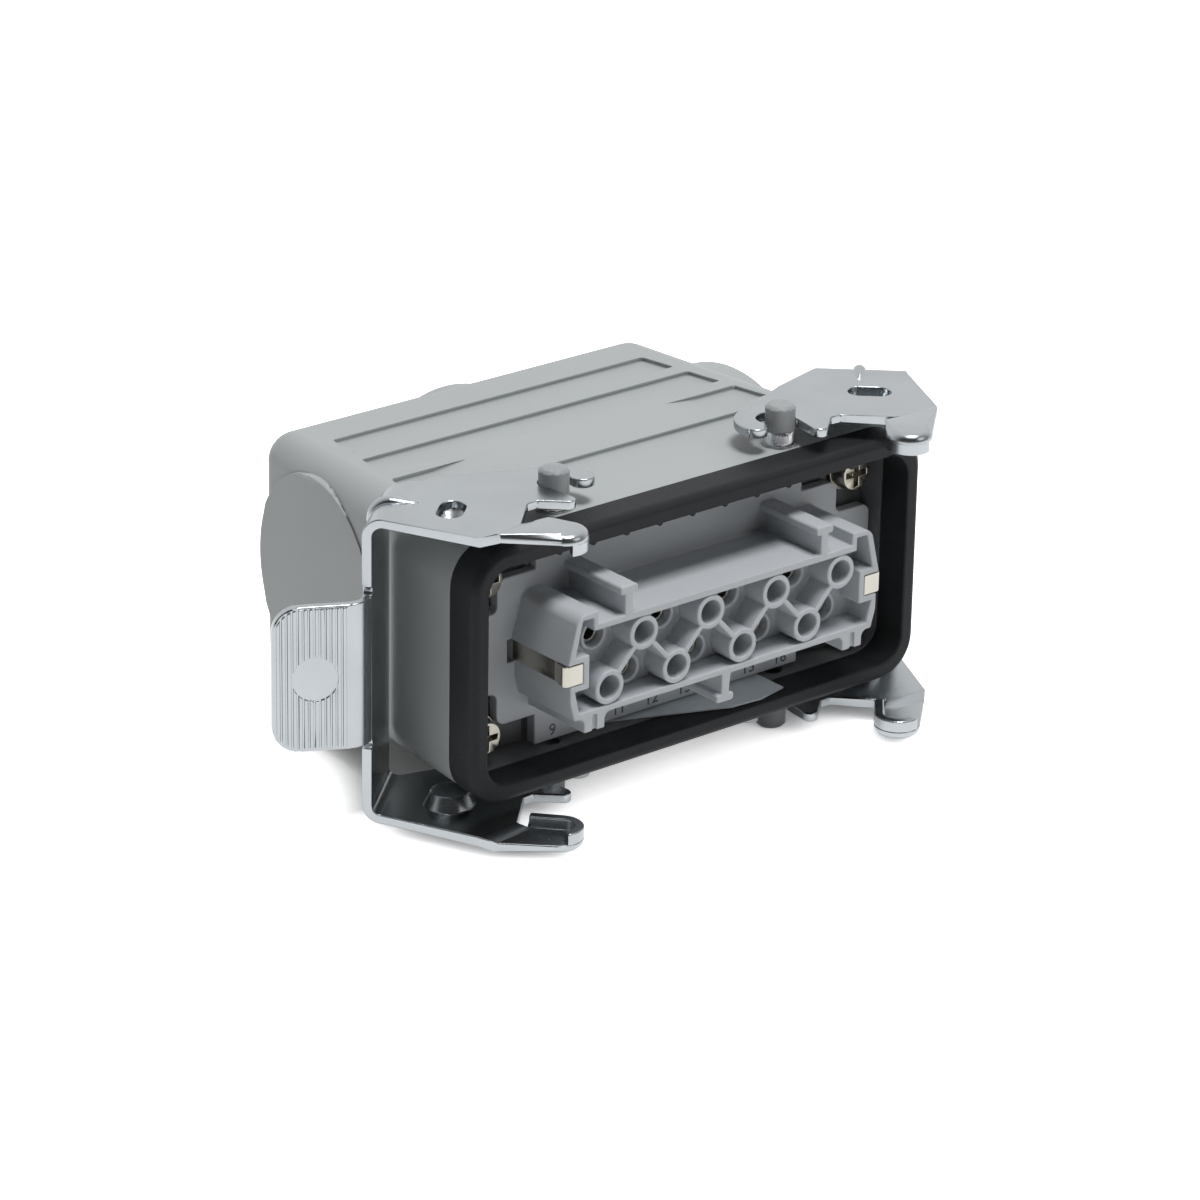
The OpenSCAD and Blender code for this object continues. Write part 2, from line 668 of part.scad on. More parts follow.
// Lever outline in the closed place, seen from above: u runs out from the
// pivot to the web and v runs forward to the mating half. The eye around the
// pivot is a hook open towards the middle, and a tooth parts it from the
// mouth that takes the other half's peg.
joggle_in = [slot_side, slot_front + 2];
joggle_out = [7.4, lever_front];
joggle_dir = (joggle_out - joggle_in) / norm(joggle_out - joggle_in);
joggle_to = [-joggle_dir[1], joggle_dir[0]];
module lever_plan() {
    tooth_tip = [-3.25, 6.55];
    tooth_r = 1.3;
    tooth_back = tooth_tip + tooth_r * [-0.58, -0.815];
    eye_at = [-0.3, -eye_slack + 0.5];
    ring_at = (eye_at + [0, -eye_slack]) / 2;
    ring_w = eye_ring + eye_slack / 2;
    ring_end_way = [cos(215), sin(215)];
    back_at = [lever_reach * 0.56, -0.6];
    rim_start = 0.4;
    difference() {
        union() {
            translate(eye_at) circle(eye_r + ring_w);
            translate(tooth_tip) circle(tooth_r);
            polygon([
                eye_at + [2.4, -eye_r - eye_ring + 0.4], back_at, [lever_reach, web_back], [lever_reach, web_front],
                [lever_reach - bend_r, web_front], joggle_out, joggle_out + [-3.3, -0.2],
                [hook_u, slot_front + hook_w], [hook_u, slot_front], [rim_start, slot_front], [rim_start, joggle_in[1]],
                joggle_in, [slot_side + 0.5, 9.9], [1.3, 8.3],
                tooth_tip + tooth_r * [-0.12, 0.99], tooth_tip, tooth_back, [0, 0]
            ]);
            translate([hook_u, hook_v]) circle(hook_end_r);
        }
        circle(eye_r);
        translate([0, -eye_slack]) circle(eye_r);
        polygon([
            [0, 0], [-0.2, 2.9], [-0.8, 3.2], tooth_back, [-14, 4], ring_at + 14 * ring_end_way, ring_at
        ]);
    }
    translate(ring_at + (eye_r + ring_w / 2) * ring_end_way) circle(ring_w / 2 - fit_gap);
}

// Side of the step that the hook lies on, moved back from the crease
module hook_side(back) {
    start = joggle_in - back * joggle_to - 5 * joggle_dir;
    polygon([start, start + 30 * joggle_dir, [-60, 60], [-60, start[1]]]);
}

// Rim turned in round the inner edge and the round end of the hook
module rim_plan() {
    open_deg = 29;
    difference() {
        union() {
            translate([hook_u, hook_v]) circle(hook_end_r - 0.02);
            translate([hook_u, slot_front + 0.02]) square([0.3 - hook_u, hook_end_r]);
        }
        translate([hook_u, hook_v]) circle(hook_end_r - sheet);
        translate([hook_u, slot_front + sheet]) square([12, hook_w]);
        translate([hook_u, hook_v]) polygon([[0, 0], [0, hook_w], [-hook_w * tan(open_deg), hook_w]]);
    }
}

// Sheet folded up and over the step, standing along the step's own line
module joggle_sheet() {
    lead = sheet * tan(atan2(hook_step, joggle_run) / 2);
    translate([joggle_in[0], joggle_in[1], arm_z]) rotate([0, 0, atan2(joggle_to[1], joggle_to[0])])
        rotate([90, 0, 0]) linear_extrude(3 * lever_reach, center = true) polygon([
            [-6, 0], [0, 0], [joggle_run, hook_step], [30, hook_step], [30, hook_step + sheet],
            [joggle_run - lead, hook_step + sheet], [-lead, sheet], [-6, sheet]
        ]);
}

// Cross-section of the folded U in u and z
module u_section() {
    difference() {
        translate([-40 + lever_reach, 0]) rounded(40, arm_top, bend_r);
        translate([-40 + lever_reach - sheet, 0]) rounded(40, arm_z, bend_r - sheet);
    }
}

// Whole folded sheet before it is cut to its outline
module folded_sheet() {
    difference() {
        rotate([90, 0, 0]) linear_extrude(4 * lever_reach, center = true) u_section();
        linear_extrude(4 * arm_top, center = true) hook_side(1.4);
    }
    for (s = [0, 1]) mirror([0, 0, s]) intersection() {
        joggle_sheet();
        linear_extrude(arm_top + hook_step + 2) hook_side(2);
    }
}

// Rim of the hook on the upper arm
module hook_rim() {
    base = arm_z + hook_step;
    translate([0, 0, base - rim_h]) linear_extrude(rim_h + sheet / 2) rim_plan();
}

// Pressed bump that spaces the arm from the hood, an oblong pocket outside
dimple_at = [lever_reach * 0.515, web_back + 7.4];
dimple_h = arm_gap - 0.3;
module dimple_boss() {
    translate([dimple_at[0], dimple_at[1], arm_z - dimple_h]) cylinder(r1 = 3, r2 = 4.2, h = dimple_h + 0.2);
}
module dimple_pocket() {
    pocket_w = 4.2;
    pocket_l = 7.2;
    depth = dimple_h + 0.2;
    translate([dimple_at[0], dimple_at[1], arm_top - depth]) intersection() {
        linear_extrude(depth + 2) {
            square([pocket_w, pocket_l - pocket_w], center = true);
            for (s = [-1, 1]) translate([0, s * (pocket_l - pocket_w) / 2]) circle(pocket_w / 2);
        }
        cylinder(r1 = 2.2, r2 = 2.2 + depth + 2, h = depth + 2);
    }
}

// Stiffening bead pressed out round the bend
module bend_bead() {
    bead_r = 1.15;
    arm_run = 4.2;
    web_run = 3.4;
    out = bend_r - 0.35;
    translate([lever_reach - bend_r, web_back + 5.7, arm_top - bend_r]) rotate([90, 0, 0]) {
        rotate_extrude(angle = 90) translate([out, 0]) circle(bead_r);
        translate([0, out, 0]) rotate([0, -90, 0]) cylinder(r1 = bead_r, r2 = 0.5, h = arm_run);
        translate([out, 0, 0]) rotate([90, 0, 0]) cylinder(r1 = bead_r, r2 = 0.5, h = web_run);
    }
}

// Grip plate with rounded outer corners, root at zero
module grip_outline(corner, edge, root) {
    hh = grip_h / 2 - edge;
    far = grip_l - edge;
    translate([root, -hh]) square([far - corner - root, 2 * hh]);
    translate([root, -hh + corner]) square([far - root, 2 * (hh - corner)]);
    for (s = [-1, 1]) translate([far - corner, s * (hh - corner)]) circle(corner);
}

// Finger grip turned out from the web's front edge, ridged on its front
module finger_grip(deg, turn_r) {
    corner = 4.4;
    ridge_h = 0.25;
    skin = 0.02;
    ridge_pitch = (grip_l - 1) / grip_ridges;
    pad_r = 3.7;
    translate([lever_reach + turn_r, web_front, grip_lift]) {
        translate([0, 0, -grip_h / 2]) rotate([0, 0, 180 - deg]) rotate_extrude(angle = deg + 5)
            translate([turn_r + skin, 0]) square([sheet - 2 * skin, grip_h]);
        rotate([0, 0, -deg]) translate([-turn_r - sheet, 0, 0]) rotate([0, 90, 0]) rotate([0, 0, 90]) {
            translate([0, 0, 2 * skin]) linear_extrude(sheet - 4 * skin) grip_outline(corner, skin, -0.3);
            translate([0, 0, -ridge_h]) linear_extrude(ridge_h + 0.3) difference() {
                intersection() {
                    for (k = [0:grip_ridges - 1]) translate([0.6 + k * ridge_pitch, -grip_h / 2])
                        square([ridge_pitch * 0.62, grip_h]);
                    grip_outline(corner, 0.4, 0.4);
                }
                translate([grip_l * 0.45, 0]) circle(pad_r);
            }
        }
    }
}

module lever(deg, turn_r) color([0.74, 0.76, 0.79]) {
    relief_r = 0.9;
    difference() {
        union() {
            intersection() {
                linear_extrude(2 * arm_top + 8, center = true) lever_plan();
                folded_sheet();
            }
            for (s = [0, 1]) mirror([0, 0, s]) {
                hook_rim();
                dimple_boss();
                bend_bead();
            }
            finger_grip(deg, turn_r);
        }
        for (s = [0, 1]) mirror([0, 0, s]) dimple_pocket();
        for (s = [-1, 1]) translate([lever_reach - sheet - 1, web_front, grip_lift + s * (grip_h / 2 + relief_r - 0.2)])
            rotate([0, 90, 0]) cylinder(r = relief_r, h = sheet + 3);
    }
}

module lever_left() translate([-pin_x, pin_y, 0]) rotate([0, 0, 180 - left_open])
    lever(grip_deg, left_turn_r);
module lever_right() mirror([1, 0, 0]) translate([-pin_x, pin_y, 0]) rotate([0, 0, 180 - right_open])
    lever(right_grip_deg, right_turn_r);

hood();
gasket();
insulating_film();
insert_body();
upper_contacts();
lower_contacts();
upper_terminal_screws();
lower_terminal_screws();
earth_plate_left();
earth_plate_right();
earth_spring_left();
earth_spring_right();
earth_screw_left();
earth_screw_right();
fixing_screws();
fixing_washers();
pin_top_left();
pin_top_right();
pin_bottom_left();
pin_bottom_right();
sleeve_top_left();
sleeve_top_right();
sleeve_bottom_left();
sleeve_bottom_right();
lever_left();
lever_right();
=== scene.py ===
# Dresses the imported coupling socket: a grey cable hood with a black face seal,
# a sixteen-way contact insert in its mouth and two folded locking levers.
# Everything is in metres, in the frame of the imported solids.
import math

import bmesh
import bpy
from mathutils import Matrix, Vector, geometry


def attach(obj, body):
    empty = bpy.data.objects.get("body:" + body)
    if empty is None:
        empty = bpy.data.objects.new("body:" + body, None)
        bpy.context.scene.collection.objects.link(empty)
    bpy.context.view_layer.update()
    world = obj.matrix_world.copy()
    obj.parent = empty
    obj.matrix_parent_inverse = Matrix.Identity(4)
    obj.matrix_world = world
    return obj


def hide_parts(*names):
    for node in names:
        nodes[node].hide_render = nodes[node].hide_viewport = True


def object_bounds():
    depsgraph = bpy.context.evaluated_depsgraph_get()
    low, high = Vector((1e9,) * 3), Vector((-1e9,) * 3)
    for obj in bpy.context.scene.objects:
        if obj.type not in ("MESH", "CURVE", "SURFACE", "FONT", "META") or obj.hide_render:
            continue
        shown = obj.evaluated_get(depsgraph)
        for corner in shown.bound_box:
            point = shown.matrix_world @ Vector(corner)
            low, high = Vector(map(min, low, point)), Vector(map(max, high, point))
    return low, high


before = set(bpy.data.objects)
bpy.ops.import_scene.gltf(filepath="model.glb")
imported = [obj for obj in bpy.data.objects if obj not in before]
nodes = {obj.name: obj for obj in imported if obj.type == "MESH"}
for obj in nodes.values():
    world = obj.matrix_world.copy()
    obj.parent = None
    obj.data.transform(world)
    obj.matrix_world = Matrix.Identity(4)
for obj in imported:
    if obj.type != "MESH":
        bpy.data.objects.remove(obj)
cad_box = [list(corner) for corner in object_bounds()]


# Hood: a die-cast cable hood, sprayed with a light grey satin enamel that
# softens every edge and leaves a fine orange peel. Its recesses, left boss and
# cable entry are in the solid; here edges are rounded and short recesses ramped.
MM = 0.001
SHARP = math.radians(35)  # an edge that turns by more than this is rounded
FLAT = math.radians(0.4)  # faces that turn by less than this are joined
WELD = 2e-6  # corners closer than this become one
ROOM = 2.1  # radii of room that an edge needs on both its faces
SPILL = 2e-9  # area by which triangles overrun a face whose outline crosses itself
FILL_INSIDE, SAME_POINT = 1, 1e-9  # how a crossed outline is filled again


def reach(corner):
    """Distance that a face runs inwards from the middle of one of its edges."""
    along = corner.link_loop_next.vert.co - corner.vert.co
    middle = corner.vert.co + along / 2
    along.normalize()
    inwards = corner.face.normal.cross(along)
    nearest = math.inf
    for edge in corner.face.edges:
        first, last = (vertex.co - middle for vertex in edge.verts)
        before, after = first.dot(along), last.dot(along)
        if edge != corner.edge and (before > 0) != (after > 0):
            depth = first.dot(inwards) + (last - first).dot(inwards) * before / (before - after)
            if depth > 0:
                nearest = min(nearest, depth)
    return nearest


def refill_crossed(shape):
    """Fill each flat face again by triangles where its rounded outline crosses itself."""
    filled = {}
    for corners in shape.calc_loop_triangles():
        face = corners[0].face
        filled[face] = filled.get(face, 0) + geometry.area_tri(*(corner.vert.co for corner in corners))
    for face, area in filled.items():
        if len(face.verts) < 5 or area < face.calc_area() + SPILL:
            continue
        turn = face.normal.to_track_quat("Z", "Y").to_matrix()
        outline = list(face.verts)
        flat = [turn.transposed() @ vertex.co for vertex in outline]
        points, _, triangles, sources, _, _ = geometry.delaunay_2d_cdt(
            [point.to_2d() for point in flat], [], [list(range(len(flat)))], FILL_INSIDE, SAME_POINT)
        shape.faces.remove(face)
        corners = []
        for point, source in zip(points, sources):
            crossing = turn @ Vector((point.x, point.y, flat[0].z))
            corners.append(outline[source[0]] if source else shape.verts.new(crossing))
        for triangle in triangles:
            trio = [corners[index] for index in triangle]
            if len(set(trio)) == 3 and not shape.faces.get(trio):
                shape.faces.new(trio)


def rounded_copy(node_name, piece_name, body, slot, *radii, reshape=None):
    """Copy of a solid that stands for it, each sharp edge rounded by the first radius that has room."""
    bpy.ops.object.select_all(action="DESELECT")
    piece = bpy.data.objects.new(piece_name, nodes[node_name].data.copy())
    bpy.context.scene.collection.objects.link(piece)
    piece.select_set(True)
    bpy.context.view_layer.objects.active = piece
    bpy.ops.object.mode_set(mode="EDIT")
    bpy.ops.mesh.select_mode(type="EDGE")
    bpy.ops.mesh.select_all(action="SELECT")
    bpy.ops.mesh.remove_doubles(threshold=WELD)
    bpy.ops.mesh.dissolve_limited(angle_limit=FLAT)
    if reshape:
        reshape(bmesh.from_edit_mesh(piece.data))
        bmesh.update_edit_mesh(piece.data)
    for radius in radii:
        bpy.ops.mesh.select_all(action="DESELECT")
        shape = bmesh.from_edit_mesh(piece.data)
        for edge in shape.edges:
            sharp = edge.calc_face_angle(0) > SHARP
            if sharp and min(reach(corner) for corner in edge.link_loops) > ROOM * radius * MM:
                edge.select_set(True)
        bmesh.update_edit_mesh(piece.data)
        bpy.ops.mesh.bevel(offset=radius * MM, segments=3, affect="EDGES", clamp_overlap=False)
    shape = bmesh.from_edit_mesh(piece.data)
    refill_crossed(shape)
    bmesh.update_edit_mesh(piece.data)
    bpy.ops.object.mode_set(mode="OBJECT")
    bpy.ops.object.shade_smooth_by_angle(angle=SHARP)
    flats = piece.modifiers.new("flat faces", "WEIGHTED_NORMAL")
    flats.keep_sharp = True
    bpy.ops.object.modifier_apply(modifier=flats.name)
    piece.data.materials.clear()
    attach(piece, body)
    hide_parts(node_name)
    return piece


PANEL_HALF_LENGTH = 30 * MM
PANEL_FRONT, PANEL_BACK = 26 * MM, 39 * MM
LOWEST_WALL, HIGHEST_WALL = 0.5 * MM, 0.9 * MM
RAMP_LENGTH = 7 * MM


def ramp_panel_ends(shape):
    """Let the short recesses run out in ramps where they meet the plain panel of each wide face."""
    for edge in shape.edges:
        foot, crest = sorted(edge.verts, key=lambda vertex: abs(vertex.co.z))
        beside_panel = abs(foot.co.x) < PANEL_HALF_LENGTH and PANEL_FRONT < foot.co.y < PANEL_BACK
        if beside_panel and LOWEST_WALL < (crest.co - foot.co).length < HIGHEST_WALL:
            foot.co.x += math.copysign(RAMP_LENGTH, foot.co.x)


def grain_group():
    """Cloudy tone over fine grain, for every moulded, sprayed or plated finish."""
    group = bpy.data.node_groups.new("cloud and grain", "ShaderNodeTree")
    for name, kind in (
        ("Colour", "NodeSocketColor"), ("Tone shift", "NodeSocketFloat"),
        ("Cloud size", "NodeSocketFloat"), ("Grain size", "NodeSocketFloat"),
        ("Roughness", "NodeSocketFloat"), ("Roughness spread", "NodeSocketFloat"),
    ):
        group.interface.new_socket(name, in_out="INPUT", socket_type=kind)
    for name, kind in (
        ("Colour", "NodeSocketColor"), ("Roughness", "NodeSocketFloat"), ("Height", "NodeSocketFloat"),
    ):
        group.interface.new_socket(name, in_out="OUTPUT", socket_type=kind)
    add, link = group.nodes.new, group.links.new
    given, made = add("NodeGroupInput"), add("NodeGroupOutput")
    place = add("ShaderNodeTexCoord")
    cloud, grain = add("ShaderNodeTexNoise"), add("ShaderNodeTexNoise")
    for texture, size, detail in ((cloud, "Cloud size", 3.0), (grain, "Grain size", 4.0)):
        texture.inputs["Detail"].default_value = detail
        link(place.outputs["Object"], texture.inputs["Vector"])
        link(given.outputs[size], texture.inputs["Scale"])
    tone = add("ShaderNodeMapRange")
    tone.inputs["From Min"].default_value = 0.3
    tone.inputs["From Max"].default_value = 0.7
    darker, lighter = add("ShaderNodeMath"), add("ShaderNodeMath")
    darker.operation, lighter.operation = "SUBTRACT", "ADD"
    darker.inputs[0].default_value = lighter.inputs[0].default_value = 1.0
    link(given.outputs["Tone shift"], darker.inputs[1])
    link(given.outputs["Tone shift"], lighter.inputs[1])
    link(cloud.outputs["Fac"], tone.inputs["Value"])
    link(darker.outputs["Value"], tone.inputs["To Min"])
    link(lighter.outputs["Value"], tone.inputs["To Max"])
    shade = add("ShaderNodeHueSaturation")
    link(given.outputs["Colour"], shade.inputs["Color"])
    link(tone.outputs["Result"], shade.inputs["Value"])
    centred, rough = add("ShaderNodeMath"), add("ShaderNodeMath")
    centred.operation, rough.operation = "SUBTRACT", "MULTIPLY_ADD"
    centred.inputs[1].default_value = 0.5
    link(grain.outputs["Fac"], centred.inputs[0])
    link(centred.outputs["Value"], rough.inputs[0])
    link(given.outputs["Roughness spread"], rough.inputs[1])
    link(given.outputs["Roughness"], rough.inputs[2])
    link(shade.outputs["Color"], made.inputs["Colour"])
    link(rough.outputs["Value"], made.inputs["Roughness"])
    link(grain.outputs["Fac"], made.inputs["Height"])
    return group


cloud_and_grain = grain_group()


def grained(name, colour, rough, metal=0.0, shift=0.03, cloud=60.0, grain=900.0, spread=0.1,
            depth=0.02, relief=0.4, gloss=0.5, corner_shade=0.0):
    """Finish of one material from the cloud and grain group; its last argument is how far from a corner the
    painted shade reaches, in mm.
    """
    finish = bpy.data.materials.new(name)
    finish.use_nodes = True
    tree = finish.node_tree
    shader = tree.nodes["Principled BSDF"]
    shader.inputs["Metallic"].default_value = metal
    shader.inputs["Specular IOR Level"].default_value = gloss
    texture = tree.nodes.new("ShaderNodeGroup")
    texture.node_tree = cloud_and_grain
    for socket, value in (
        ("Colour", (*colour, 1.0)), ("Tone shift", shift), ("Cloud size", cloud), ("Grain size", grain),
        ("Roughness", rough), ("Roughness spread", spread),
    ):
        texture.inputs[socket].default_value = value
    bump = tree.nodes.new("ShaderNodeBump")
    bump.inputs["Strength"].default_value = relief
    bump.inputs["Distance"].default_value = depth * MM
    # Painted shade: the colour is darkened in corners and recesses, where ambient occlusion finds a surface
    # near.
    if corner_shade:
        corner_occlusion = tree.nodes.new("ShaderNodeAmbientOcclusion")
        corner_occlusion.inputs["Distance"].default_value = corner_shade * MM
        shade_ramp = tree.nodes.new("ShaderNodeMapRange")
        shade_ramp.inputs["From Min"].default_value = 0.5
        shade_ramp.inputs["From Max"].default_value = 0.9
        shade_ramp.inputs["To Min"].default_value = 0.4
        shaded_colour = tree.nodes.new("ShaderNodeVectorMath")
        shaded_colour.operation = "SCALE"
        tree.links.new(corner_occlusion.outputs["AO"], shade_ramp.inputs["Value"])
        tree.links.new(texture.outputs["Colour"], shaded_colour.inputs[0])
        tree.links.new(shade_ramp.outputs["Result"], shaded_colour.inputs["Scale"])
        tree.links.new(shaded_colour.outputs["Vector"], shader.inputs["Base Color"])
    else:
        tree.links.new(texture.outputs["Colour"], shader.inputs["Base Color"])
    tree.links.new(texture.outputs["Roughness"], shader.inputs["Roughness"])
    tree.links.new(texture.outputs["Height"], bump.inputs["Height"])
    tree.links.new(bump.outputs["Normal"], shader.inputs["Normal"])
    return finish


# The enamel carries painted shade in its grooves, corners and recesses.
enamel = grained("grey enamel", (0.402, 0.427, 0.430), 0.5, shift=0.02, cloud=45, grain=1500,
                 spread=0.12, depth=0.03, relief=0.35, corner_shade=0.8)
hood = rounded_copy("hood", "hood_casting", "housing", "hood_paint", 0.4, 0.12, reshape=ramp_panel_ends)
hood.data.materials.append(enamel)
# The faces inside the mouth take a near-black grey in place of the enamel.
mouth_inside_grey = grained("mouth inside grey", (0.13, 0.136, 0.142), 0.6, shift=0.1, cloud=120, grain=1800,
                       spread=0.2, depth=0.04)
hood.data.materials.append(mouth_inside_grey)
INSIDE_HALF_LENGTH, INSIDE_HALF_HEIGHT = 44.2 * MM, 18.95 * MM
for face in hood.data.polygons:
    inside = abs(face.center.x) < INSIDE_HALF_LENGTH and abs(face.center.z) < INSIDE_HALF_HEIGHT
    faces_middle = face.normal.x * face.center.x + face.normal.z * face.center.z < -0.1 * MM
    faces_mouth = face.normal.y < -0.5
    if inside and (faces_middle or faces_mouth):
        face.material_index = 1


# Right entry boss: the round boss on the hood's right end, part of the same
# casting and enamel. It stands higher than the left one, so its rim shows over
# the hood's edge, and it is blanked like the left one.
BOSS_RADIUS, BOSS_DEPTH, BOSS_ROUND = 19.0 * MM, 7 * MM, 0.8 * MM
BOSS_FACETS = 96
BOSS_TOP = Vector((46.3 * MM, 48.3 * MM, 0))
END_SLOPE = math.radians(6.4)
NEAR = 0.1 * MM
outwards = Vector((math.cos(END_SLOPE), math.sin(END_SLOPE), 0))
bpy.ops.object.select_all(action="DESELECT")
bpy.ops.mesh.primitive_cylinder_add(
    vertices=BOSS_FACETS, radius=BOSS_RADIUS, depth=BOSS_DEPTH,
    location=BOSS_TOP - outwards * BOSS_DEPTH / 2, rotation=outwards.to_track_quat("Z", "Y").to_euler())
boss = bpy.context.object
boss.name = "right_entry_boss"
bpy.ops.object.transform_apply(location=True, rotation=True, scale=True)
bpy.ops.object.mode_set(mode="EDIT")
bpy.ops.mesh.select_mode(type="EDGE")
bpy.ops.mesh.select_all(action="DESELECT")
boss_shape = bmesh.from_edit_mesh(boss.data)
for edge in boss_shape.edges:
    edge.select_set(all(abs((vertex.co - BOSS_TOP).dot(outwards)) < NEAR for vertex in edge.verts))
bmesh.update_edit_mesh(boss.data)
bpy.ops.mesh.bevel(offset=BOSS_ROUND, segments=4, affect="EDGES")
bpy.ops.object.mode_set(mode="OBJECT")
bpy.ops.object.shade_smooth_by_angle(angle=SHARP)
boss.data.materials.append(enamel)
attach(boss, "housing")


# Face seal: a moulded black rubber frame pushed over the hood's mouth. Its
# front edge is rounded and the small nibs on its upper lip are left by the mould.
rubber = grained("black rubber", (0.012, 0.0135, 0.0155), 0.6, shift=0.12, cloud=90, grain=2200,
                 spread=0.2, gloss=0.27)
seal = rounded_copy("gasket", "face_seal", "housing", "seal_rubber", 0.4, 0.1)
seal.data.materials.append(rubber)


# Contact insert: one light grey glass-filled moulding with a flange, raised
# tubes in a zigzag and guide ribs. Screws hold it in the hood by its flange.
plastic = grained("grey moulding", (0.50, 0.525, 0.55), 0.48, shift=0.025, cloud=70, grain=2600, spread=0.14,
                  depth=0.012, relief=0.35)
END_CREST = Vector((30.76 * MM, 0, 9.95 * MM))
CREST_ROUND = 1.6 * MM


def round_end_crests(shape):
    """Round the long upper edge of each end block, which is softer than the moulding's other edges."""
    bpy.ops.mesh.select_all(action="DESELECT")
    for edge in shape.edges:
        sections = [Vector((abs(vertex.co.x), 0, vertex.co.z)) for vertex in edge.verts]
        edge.select_set(all((section - END_CREST).length < NEAR for section in sections))
    bpy.ops.mesh.bevel(offset=CREST_ROUND, segments=6, affect="EDGES", clamp_overlap=False)


insert = rounded_copy("insert_body", "insert_moulding", "housing", "insert_plastic", 0.25, 0.08,
                      reshape=round_end_crests)
insert.data.materials.append(plastic)


# Contact numbers: printed in dark ink on the flange under the lower row, one
# below each contact, as thin raised figures that stand on the flange's face.
ink = grained("number ink", (0.085, 0.088, 0.093), 0.6, shift=0.15, cloud=400, grain=3000)
FLANGE_FRONT = 8.4 * MM
COLUMNS, COLUMN_PITCH = 8, 6.93 * MM
FIRST_NUMBER = 9
NUMBER_SIZE, NUMBER_Z = 2.9 * MM, -16.3 * MM
INK_HALF_DEPTH, INK_FORWARD = 0.03 * MM, 0.02 * MM
for column in range(COLUMNS):
    bpy.ops.object.select_all(action="DESELECT")
    bpy.ops.object.text_add(location=(0, 0, 0))
    figure = bpy.context.object
    figure.data.body = str(FIRST_NUMBER + column)
    figure.data.size = NUMBER_SIZE
    figure.data.align_x = figure.data.align_y = "CENTER"
    figure.data.extrude = INK_HALF_DEPTH
    figure.data.resolution_u = 4
    bpy.ops.object.convert(target="MESH")
    figure.rotation_euler = (math.radians(90), 0, 0)
    figure.location = ((column - (COLUMNS - 1) / 2) * COLUMN_PITCH, FLANGE_FRONT - INK_FORWARD, NUMBER_Z)
    bpy.ops.object.transform_apply(location=True, rotation=True, scale=True)
    figure.name = f"contact_number_{FIRST_NUMBER + column}"
    figure.data.materials.clear()
    figure.data.materials.append(ink)
    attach(figure, "housing")


# Contacts: turned copper-alloy sockets with a silver plate, pushed into the
# insert from behind, each with a square screw terminal on its tail.
silver = grained("silver plate", (0.52, 0.51, 0.47), 0.3, metal=1.0, shift=0.06, cloud=200, grain=1800,
                 spread=0.12)
for row in ("upper_contacts", "lower_contacts"):
    sockets = rounded_copy(row, row.replace("contacts", "sockets"), "housing", "contact_metal", 0.1)
    sockets.data.materials.append(silver)


# Terminal, earth and fixing screws with their washers: headed steel that holds
# the wires and the insert, with a bright zinc plate that is a little cloudy and,
# on the fixing screws and washers, yellowed; their warm dark tone is partly a
# painted reflection of dark warm surroundings.
zinc = grained("bright zinc", (0.60, 0.62, 0.64), 0.2, metal=1.0, shift=0.08, cloud=160, grain=1600,
               spread=0.12, depth=0.006, relief=0.2)
yellow_zinc_and_reflection = grained("yellowed zinc and painted reflection", (0.38, 0.36, 0.31), 0.24, metal=1.0, shift=0.12, cloud=180,
                      grain=1600, spread=0.12, depth=0.006, relief=0.2)
for name, plating in (
    ("upper_terminal_screws", zinc), ("lower_terminal_screws", zinc), ("earth_screw_left", zinc),
    ("earth_screw_right", zinc), ("fixing_screws", yellow_zinc_and_reflection), ("fixing_washers", yellow_zinc_and_reflection),
):
    hardware = rounded_copy(name, name.replace("_", "-"), "housing", "zinc", 0.15)
    hardware.data.materials.append(plating)


# Earth plates: pressed steel plates under the insert's two ends, which the
# fixing screws pass through. Their zinc is dull and dark, passivated black, and
# its near-black colour is partly painted shade for the deep shade in the corner
# notches of the flange.
dark_zinc_and_shade = grained("dark zinc and painted shade", (0.09, 0.093, 0.097), 0.42, metal=0.6, shift=0.1, cloud=140, grain=1500,
                    spread=0.16)
for side in ("left", "right"):
    plate = rounded_copy(f"earth_plate_{side}", f"earth-plate-{side}", "housing", "zinc", 0.15)
    plate.data.materials.append(dark_zinc_and_shade)


# Earth springs: thin plated bronze strips, folded over the insert's two ends,
# which touch the mating half before its contacts do.
strip = grained("plated strip", (0.50, 0.48, 0.43), 0.32, metal=1.0, shift=0.05, cloud=220, grain=1400,
                spread=0.15)
for side in ("left", "right"):
    spring = rounded_copy(f"earth_spring_{side}", f"spring_strip_{side}", "housing", "spring_metal", 0.1)
    spring.data.materials.append(strip)


# Spring leaves: the flat outer leaf of each earth spring, of the same plated
# strip. It lies in the recess below the end block's shoulder, from the flange
# to where the spring bows out over the front.
LEAF_LOW, LEAF_HIGH = Vector((32.2, -2.4, -1.7)) * MM, Vector((32.6, 8.45, 1.7)) * MM
LEAF_ROUND = 0.1 * MM
middle = (LEAF_LOW + LEAF_HIGH) / 2
for side, way in (("left", -1), ("right", 1)):
    bpy.ops.object.select_all(action="DESELECT")
    bpy.ops.mesh.primitive_cube_add(size=1, location=(way * middle.x, middle.y, middle.z))
    leaf = bpy.context.object
    leaf.name = f"spring_leaf_{side}"
    leaf.scale = LEAF_HIGH - LEAF_LOW
    bpy.ops.object.transform_apply(location=True, rotation=True, scale=True)
    bpy.ops.object.mode_set(mode="EDIT")
    bpy.ops.mesh.select_all(action="SELECT")
    bpy.ops.mesh.bevel(offset=LEAF_ROUND, segments=2, affect="EDGES")
    bpy.ops.object.mode_set(mode="OBJECT")
    bpy.ops.object.shade_smooth_by_angle(angle=SHARP)
    leaf.data.materials.append(strip)
    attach(leaf, "housing")


